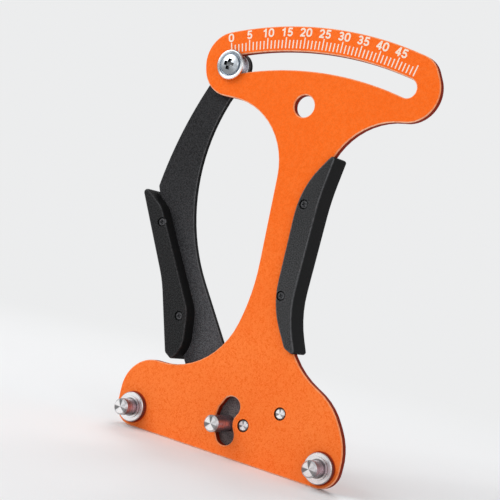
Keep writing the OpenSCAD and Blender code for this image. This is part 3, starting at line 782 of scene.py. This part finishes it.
def tick_tree():
    """Printed lines along an arc about the pivot."""
    g = Growth("dial_ticks", [("Divisions", "Int", 50), ("Foot radius", "Float", 0.18),
                              ("Start", "Float", 0.0), ("Sweep", "Float", 0.5), ("Short", "Float", 0.003),
                              ("Long", "Float", 0.005), ("Width", "Float", 0.0005), ("Front", "Float", 0.0),
                              ("Film", "Float", 0.00002), ("Pivot", "Vector", (0, 0, 0)),
                              ("Material", "Material", None)])
    divisions = g.given("Divisions")
    points = g.add("GeometryNodePoints", None, {"Count": divisions + 1.0})
    index = g.add("GeometryNodeInputIndex")
    angle = g.given("Start") + index * g.given("Sweep") / divisions
    is_long = index.math("MODULO", NUMBERED_LINE) < 0.5
    length = g.given("Short") + is_long * (g.given("Long") - g.given("Short"))
    radius = g.given("Foot radius") + length * 0.5
    place = g.add("ShaderNodeCombineXYZ", None, {0: radius * angle.math("SINE"), 1: g.given("Front"),
                                                 2: radius * angle.math("COSINE")})
    place = g.vectors("ADD", place, g.given("Pivot"))
    placed = g.add("GeometryNodeSetPosition", None, {"Geometry": points, "Position": place})
    line = g.add("GeometryNodeMeshCube", None, {"Size": (1.0, 1.0, 1.0)})
    turn = g.add("ShaderNodeCombineXYZ", None, {1: angle})
    size = g.add("ShaderNodeCombineXYZ", None, {0: g.given("Width"), 1: g.given("Film"), 2: length})
    g.finish(g.add("GeometryNodeInstanceOnPoints", None,
                   {"Points": placed, "Instance": line, "Rotation": turn, "Scale": size}))
    return g


def wire_tree():
    """Round wire along a line of points."""
    g = Growth("round_wire", [("Radius", "Float", 0.001), ("Sides", "Int", 24),
                              ("Material", "Material", None)])
    line = g.add("GeometryNodeMeshToCurve", None, {0: g.given("Geometry")})
    section = g.add("GeometryNodeCurvePrimitiveCircle", None,
                    {"Resolution": g.given("Sides"), "Radius": g.given("Radius")})
    wire = g.add("GeometryNodeCurveToMesh", None,
                 {"Curve": line, "Profile Curve": section, "Fill Caps": True})
    g.finish(g.add("GeometryNodeSetShadeSmooth", None, {"Geometry": wire}))
    return g


# ---------------------------------------------------------------- coats and metal


class METER_OT_coats(bpy.types.Operator):
    """Coat the plate, the lever and the grips"""

    bl_idname = "meter.coats"
    bl_label = "Coats and grips"

    def execute(self, context):
        # Edges sharper than these angles, in degrees, stay crisp
        cut_edge, moulded_edge = 25, 40
        smooth_copy("front_plate", orange_coat(), PLATE_BODY, cut_edge, "plate_coat")
        smooth_copy("lever_arm", black_coat(), LEVER_BODY, cut_edge, "lever_coat")
        plastic = grip_plastic()
        for node, body in (("right_grip", PLATE_BODY), ("left_grip", LEVER_BODY)):
            smooth_copy(node, plastic, body, moulded_edge, node + "_moulding")
        return {"FINISHED"}


def turned(nodes, **look):
    """Gives each node turned steel about its own axis."""
    for node in nodes:
        dress(NODES[node], turned_steel(node + "_steel", middle(node), **look))


def plated(nodes, *look):
    """Gives each node zinc plate about its own axis."""
    for node in nodes:
        dress(NODES[node], plated_steel(node + "_zinc", middle(node), *look))


class METER_OT_metal(bpy.types.Operator):
    """Give each turned or plated piece its metal"""

    bl_idname = "meter.metal"
    bl_label = "Metal pieces"

    def execute(self, context):
        turned(("post_left", "post_right", "moving_pin"), shine=1.25, skirt=COLLAR_WALL_SHADE)
        turned(("pivot_pin", "spring_anchor", "spring_stud"), pin_r=2.6 * MM, shine=1.8)
        turned(("pivot_spacer", "pivot_end_washer", "pivot_bush"), colour=PLAIN_STEEL, pin_r=0.5 * MM)
        plated(("pointer_sleeve", "pointer_spacer"), SLEEVE_ZINC, 0.36)
        plated(("moving_pin_screw", "pointer_nut"))
        dress(NODES["pivot_clip"], blackened_steel("clip_oxide", PIVOT))
        for node in ("post_screws", "post_washers"):
            dress(NODES[node], plated_steel(node + "_zinc", middle("post_left")))
        for node in ("right_grip_screws", "left_grip_screws"):
            dress(NODES[node], blackened_steel(node + "_oxide", middle(node)))
        return {"FINISHED"}


# ---------------------------------------------------------------- dial print


class METER_OT_dial_lines(bpy.types.Operator):
    """Print the lines of the dial"""

    bl_idname = "meter.dial_lines"
    bl_label = "Dial lines"

    def execute(self, context):
        dial = settings().dial
        seed = new_piece("dial_lines", bpy.data.meshes.new("dial_lines"))
        lines = tick_tree().grow(seed, Divisions=dial.divisions, Foot_radius=DIAL_R + dial.tick_foot,
                                 Start=math.radians(DIAL_ZERO), Sweep=math.radians(DIAL_SWEEP),
                                 Short=dial.short_tick, Long=dial.long_tick, Width=dial.tick_width,
                                 Front=PLATE_FRONT - dial.film / 2, Film=dial.film,
                                 Pivot=(PIVOT.x, 0.0, PIVOT.z), Material=dial_ink())
        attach(lines, PLATE_BODY)
        return {"FINISHED"}


def bend(x, y, across, up, start, end, count=12):
    """Points on part of an oval about x, y, from angle start to angle end."""
    angles = [math.radians(start + (end - start) * k / count) for k in range(count + 1)]
    return [(x + across * math.cos(a), y + up * math.sin(a)) for a in angles]


# The figures' strokes in a box 1 high: points on the middle of each stroke, and whether it closes
FIGURES = {
    "0": [(bend(0.36, 0.62, 0.265, 0.285, 0, 180) + bend(0.36, 0.38, 0.265, 0.285, 180, 360), True)],
    "1": [([(0.44, 0.0), (0.44, 1.0)], False), ([(0.13, 0.73), (0.28, 0.76), (0.42, 0.90)], False)],
    "2": [(bend(0.35, 0.655, 0.245, 0.25, 172, -28) + [(0.40, 0.36), (0.22, 0.21), (0.135, 0.05)], False),
          ([(0.04, 0.095), (0.66, 0.095)], False)],
    "3": [(bend(0.345, 0.695, 0.215, 0.21, 165, -90), False),
          (bend(0.35, 0.30, 0.255, 0.205, 90, -165), False), ([(0.24, 0.495), (0.36, 0.495)], False)],
    "4": [([(0.49, 0.0), (0.49, 1.0)], False), ([(0.02, 0.29), (0.69, 0.29)], False),
          ([(0.105, 0.29), (0.46, 0.93)], False)],
    "5": [([(0.14, 0.905), (0.64, 0.905)], False), ([(0.20, 0.95), (0.155, 0.44)], False),
          (bend(0.35, 0.335, 0.255, 0.245, 142, -160), False)],
}
FIGURE_WIDTH, FIGURE_STEP = 0.72, 0.80
# Each stroke of a number lies a little higher than the last, so that crossing strokes share no face
LAYER_STEP = 0.1


def print_stroke(bm, points, closed, start, width, height, place):
    """Adds one stroke of a figure that begins at start, as a thin closed strip of a width and height.
    place maps x, y, height to space."""
    if closed:
        points = [p for k, p in enumerate(points) if math.dist(p, points[k - 1]) > 1e-6]
    count = len(points)
    stations = []
    for k, (x, y) in enumerate(points):
        before = points[k - 1] if (k or closed) else (x, y)
        after = points[(k + 1) % count] if (k < count - 1 or closed) else (x, y)
        along = Vector((after[0] - before[0], after[1] - before[1])).normalized()
        across = Vector((-along.y, along.x)) * width / 2
        stations.append([bm.verts.new(place(x + side * across.x + start, y + side * across.y, h))
                         for side, h in ((1, 0.0), (1, height), (-1, height), (-1, 0.0))])
    for a, b in zip(stations, stations[1:]):
        join_rings(bm, a, b)
    if closed:
        join_rings(bm, stations[-1], stations[0])
    else:
        bm.faces.new(stations[0])
        bm.faces.new(stations[-1])


def print_number(bm, number, dial):
    """Prints one number at its line of the dial, upright on the radius there."""
    text = str(number)
    scale = dial.number_height
    angle = DIAL_ZERO + DIAL_SWEEP * number / dial.divisions
    turn = Matrix.Rotation(math.radians(angle), 3, "Y")
    centre = clock(dial.number_radius, angle)

    def on_plate(x, y, height):
        """A point of the number, whose middle is at 0, 0.5, as it lies at a height on the plate."""
        flat = turn @ Vector((x * scale, 0.0, (y - 0.5) * scale))
        return centre + flat + Vector((0.0, PLATE_FRONT - height, 0.0))

    width = FIGURE_STEP * (len(text) - 1) + FIGURE_WIDTH
    layer = 0
    for index, figure in enumerate(text):
        start = index * FIGURE_STEP - width / 2
        for points, closed in FIGURES[figure]:
            layer += 1
            print_stroke(bm, points, closed, start, dial.number_stroke / scale,
                         dial.film * (1.0 + LAYER_STEP * layer), on_plate)


class METER_OT_dial_numbers(bpy.types.Operator):
    """Print the numbers of the dial, one at every fifth line but the last"""

    bl_idname = "meter.dial_numbers"
    bl_label = "Dial numbers"

    def execute(self, context):
        dial = settings().dial
        bm = bmesh.new()
        for number in range(0, dial.divisions, NUMBERED_LINE):
            print_number(bm, number, dial)
        bmesh.ops.recalc_face_normals(bm, faces=bm.faces)
        numbers = dress(piece_from(bm, "dial_numbers"), bpy.data.materials["dial_ink"])
        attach(numbers, PLATE_BODY)
        return {"FINISHED"}


# ---------------------------------------------------------------- pointer


def pointer_profile(top, end, rim_r):
    """The pointer screw from its top to its end: dome, valley, rounded lip, flange, boss and shank."""
    dome_r, lip_r, shank_r, boss_r = 5.1 * MM, 0.85 * MM, 2.5 * MM, 5.2 * MM
    gap, boss, flange = 0.3 * MM, 0.8 * MM, 0.75 * MM
    edge_bevel, end_bevel = 0.1 * MM, 0.4 * MM
    foot = PLATE_FRONT - gap
    seat = foot - boss
    valley = seat - flange
    steps = 10
    profile = [(0.0, top)]
    for k in range(1, steps):
        a = math.radians(90 * k / steps)
        profile.append((dome_r * math.sin(a), valley + (top - valley) * math.cos(a) ** 0.75))
    profile.append((dome_r + 0.02 * MM, valley))
    # The lip leans out of the valley and turns over to the flange's edge
    for k in range(steps + 1):
        a = math.radians(-75 + 165 * k / steps)
        profile.append((rim_r - lip_r + lip_r * math.sin(a),
                        valley - 0.05 * MM + lip_r * (0.26 - math.cos(a))))
    return profile + [(rim_r, seat - edge_bevel), (rim_r - edge_bevel, seat), (boss_r, seat), (boss_r, foot),
                      (shank_r, foot), (shank_r, end - end_bevel), (shank_r - end_bevel, end), (0.0, end)]


class METER_OT_pointer(bpy.types.Operator):
    """Shape the pointer's flanged screw, with its domed head and cross recess"""

    bl_idname = "meter.pointer"
    bl_label = "Pointer screw"

    def execute(self, context):
        low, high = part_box("pointer_screw")
        top, end = low.y, high.y
        # The rounded rim stands a little past the solid's
        rim_r = (high.x - low.x) / 2 + 0.25 * MM
        recess_reach, rim_foot = 3.0 * MM, 5.55 * MM
        screw = lathe("pointer_screw_turned", pointer_profile(top, end, rim_r), POINTER, segments=96)
        cross = cross_cutter(POINTER, top, depth=2.1 * MM, width=5.6 * MM, arm=2.1 * MM, turn=-7, taper=0.8)
        screw = smooth(cut(screw, cross), degrees=32)
        dress(screw, plated_steel("pointer_zinc", POINTER, POINTER_ZINC,
                                  recess=(top, recess_reach, rim_foot)))
        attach(screw, LEVER_BODY)
        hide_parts("pointer_screw")
        return {"FINISHED"}


# ---------------------------------------------------------------- spring

WHOLE_TURNS, POINTS_A_TURN, POINTS_A_LEG, WIRE_SIDES = 3, 40, 8, 20
# The pins' radii where the legs lie, the gap between them, and how far a leg goes past its pin
STUD_R, ANCHOR_R, LEG_GAP, LEG_PAST = 2.0 * MM, 2.2 * MM, 0.1 * MM, 5 * MM


def spoke(angle):
    """The direction at an angle about the pivot."""
    return Vector((math.cos(angle), 0.0, math.sin(angle)))


def spring_leg(spring, node, side, pin_r):
    """The direction and the length of the straight leg that leaves the coil and passes a pin."""
    pin = middle(node)
    v = Vector((pin.x - PIVOT.x, 0, pin.z - PIVOT.z))
    off = spring.coil_radius + spring.wire / 2 + pin_r + LEG_GAP
    reach = math.sqrt(v.length ** 2 - off ** 2)
    return math.atan2(v.z, v.x) + side * math.asin(off / v.length), reach + LEG_PAST


def leg_points(foot, angle, length):
    """Points along a leg, from its end down to its foot on the coil."""
    return [foot + spoke(angle) * length * k / POINTS_A_LEG for k in range(POINTS_A_LEG, 0, -1)]


def spring_route(spring, front, rear):
    """The middle of the wire, from the leg on the lever's stud to the leg on the plate's anchor."""
    lever_angle, lever_length = spring_leg(spring, "spring_stud", -1, STUD_R)
    plate_angle, plate_length = spring_leg(spring, "spring_anchor", 1, ANCHOR_R)
    start = lever_angle + math.pi / 2
    turn = (plate_angle - lever_angle + math.pi) % (2 * math.pi) + 2 * math.pi * WHOLE_TURNS
    count = int(turn / (2 * math.pi) * POINTS_A_TURN)
    coil = []
    for k in range(count + 1):
        centre = Vector((PIVOT.x, front + (rear - front) * k / count, PIVOT.z))
        coil.append(centre + spring.coil_radius * spoke(start + turn * k / count))
    front_leg = leg_points(coil[0], lever_angle, lever_length)
    rear_leg = leg_points(coil[-1], plate_angle, plate_length)
    return front_leg + coil + rear_leg[::-1]


class METER_OT_spring(bpy.types.Operator):
    """Wind the torsion spring in round wire, from the lever's stud to the plate's anchor"""

    bl_idname = "meter.spring"
    bl_label = "Torsion spring"

    def execute(self, context):
        spring = settings().spring
        low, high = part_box("torsion_spring")
        front, rear = low.y + spring.wire / 2, high.y - spring.wire / 2
        points = spring_route(spring, front, rear)
        mesh = bpy.data.meshes.new("spring_line")
        mesh.from_pydata([tuple(p) for p in points], [(k, k + 1) for k in range(len(points) - 1)], [])
        wire = wire_tree().grow(new_piece("torsion_spring_wound", mesh), Radius=spring.wire / 2,
                                Sides=WIRE_SIDES, Material=spring_steel())
        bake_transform(wire)
        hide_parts("torsion_spring")
        return {"FINISHED"}


# ---------------------------------------------------------------- studio

# Each lamp's name, place, width, and power as a share of the key light's
LAMPS = (
    ("key", (-1.2, -1.3, 1.35), 1.5, 1.0),
    ("fill", (1.3, -1.0, 0.8), 0.9, 0.12),
    ("rear", (-0.7, 1.3, 1.2), 0.8, 0.45),
)
LAMP_AIM = (0.0, 0.0, 0.10)
SKYLIGHT = (0.95, 0.97, 1.0)
CAMERA_PLACE = (0.3230, -0.5644, 0.1073)
CAMERA_FORWARD = (-0.5083, 0.8611, -0.0150)
CAMERA_UP = (-0.2056, -0.1045, 0.973)
FRAME_PX, SENSOR_MM = 500.0, 36.0
FLOOR_RADII, FLOOR_SIDES = (0.3, 0.9, 2.5, 12.0), 72
# How far the floor lies under the object, and from where to where it fades
FLOOR_DROP, FLOOR_FADE = 0.1 * MM, (0.12, 0.60)


def lay_floor(stage):
    """A wide round floor that fades to the backdrop's colour."""
    pale = tuple(stage.floor)
    f = Finish("stage_floor", pale, 0.85, Specular_IOR_Level=0.1)
    f.set(Base_Color=f.shades(f.noise(0.4), 0.3, 0.7, pale, 0.985, 1.01))
    far = f.vectors("LENGTH", f.place(), out="Value").smooth(*FLOOR_FADE)
    glow = f.add("ShaderNodeEmission", None, {"Color": tuple(stage.backdrop), "Strength": 1.0})
    surface = Value(f, f.surface.outputs[0])
    f.put(f.output.inputs["Surface"], f.add("ShaderNodeMixShader", None, {0: far, 1: surface, 2: glow}))
    bm = bmesh.new()
    turns = [math.radians(360 / FLOOR_SIDES * k) for k in range(FLOOR_SIDES)]
    rings = [[bm.verts.new((r * math.cos(a), r * math.sin(a), -FLOOR_DROP)) for a in turns]
             for r in FLOOR_RADII]
    bm.faces.new(rings[0])
    for inner, outer in zip(rings, rings[1:]):
        join_rings(bm, outer, inner)
    dress(piece_from(bm, "stage_floor"), f.material)


def light_world(stage):
    """Soft light from all round, behind a plain backdrop that the camera and reflections see."""
    world = bpy.data.worlds.new("studio")
    world.use_nodes = True
    sky = Graph(world.node_tree)
    sky.tree.nodes.clear()
    rays = sky.add("ShaderNodeLightPath").socket.node.outputs
    camera, glossy, through = [Value(sky, rays[name]) for name in
                               ("Is Camera Ray", "Is Glossy Ray", "Is Transmission Ray")]
    seen = camera.math("MAXIMUM", glossy).math("MAXIMUM", through)
    shown = sky.add("ShaderNodeBackground", None, {"Color": tuple(stage.backdrop), "Strength": 1.0})
    light = sky.add("ShaderNodeBackground", None, {"Color": SKYLIGHT, "Strength": stage.world_light})
    end = sky.tree.nodes.new("ShaderNodeOutputWorld")
    sky.put(end.inputs["Surface"], sky.add("ShaderNodeMixShader", None, {0: seen, 1: light, 2: shown}))
    bpy.context.scene.world = world


def hang_lamp(name, place, size, power):
    """A square soft lamp that points at the object."""
    data = bpy.data.lights.new(name, "AREA")
    data.shape = "SQUARE"
    data.size = size
    data.energy = power
    lamp = new_piece(name, data)
    lamp.location = place
    lamp.rotation_euler = (Vector(LAMP_AIM) - Vector(place)).to_track_quat("-Z", "Y").to_euler()


def set_camera(stage):
    """The camera at the photograph's viewing angle."""
    camera = bpy.data.cameras.new("camera")
    camera.sensor_width = SENSOR_MM
    camera.lens = stage.focal_px / FRAME_PX * SENSOR_MM
    camera.clip_start, camera.clip_end = 0.01, 20.0
    eye = new_piece("camera", camera)
    forward = Vector(CAMERA_FORWARD).normalized()
    right = forward.cross(Vector(CAMERA_UP)).normalized()
    up = right.cross(forward).normalized()
    turn = Matrix((right, up, -forward)).transposed().to_4x4()
    eye.matrix_world = Matrix.Translation(CAMERA_PLACE) @ turn
    bpy.context.scene.camera = eye


class METER_OT_stage(bpy.types.Operator):
    """Set up the floor, the lamps and the camera"""

    bl_idname = "meter.stage"
    bl_label = "Stage"

    def execute(self, context):
        stage = settings().stage
        context.scene.view_settings.view_transform = "Standard"
        lay_floor(stage)
        light_world(stage)
        for name, place, size, share in LAMPS:
            hang_lamp(name, place, size, stage.key_light * share)
        set_camera(stage)
        return {"FINISHED"}


# ---------------------------------------------------------------- add-on


class METER_PT_panel(bpy.types.Panel):
    """Sizes, colours and pieces of the tension meter"""

    bl_idname = "METER_PT_panel"
    bl_label = "Tension Meter"
    bl_space_type = "VIEW_3D"
    bl_region_type = "UI"
    bl_category = "Tension Meter"

    def draw(self, context):
        meter = context.scene.tension_meter
        for title, group in (("Dial", meter.dial), ("Coats", meter.coats), ("Spring", meter.spring),
                             ("Stage", meter.stage)):
            box = self.layout.box()
            box.label(text=title)
            for name in group.__annotations__:
                box.prop(group, name)
        for operator in OPERATORS:
            self.layout.operator(operator.bl_idname)


SETTINGS = (DialSettings, CoatSettings, SpringSettings, StageSettings, MeterSettings)
OPERATORS = (METER_OT_coats, METER_OT_metal, METER_OT_dial_lines, METER_OT_dial_numbers, METER_OT_pointer,
             METER_OT_spring, METER_OT_stage)
CLASSES = SETTINGS + OPERATORS + (METER_PT_panel,)


def register():
    for cls in CLASSES:
        bpy.utils.register_class(cls)
    bpy.types.Scene.tension_meter = PointerProperty(type=MeterSettings)


def unregister():
    del bpy.types.Scene.tension_meter
    for cls in reversed(CLASSES):
        bpy.utils.unregister_class(cls)


def main():
    register()
    bpy.ops.meter.coats()
    bpy.ops.meter.metal()
    bpy.ops.meter.dial_lines()
    bpy.ops.meter.dial_numbers()
    bpy.ops.meter.pointer()
    bpy.ops.meter.spring()
    bpy.ops.meter.stage()


if __name__ == "__main__":
    main()
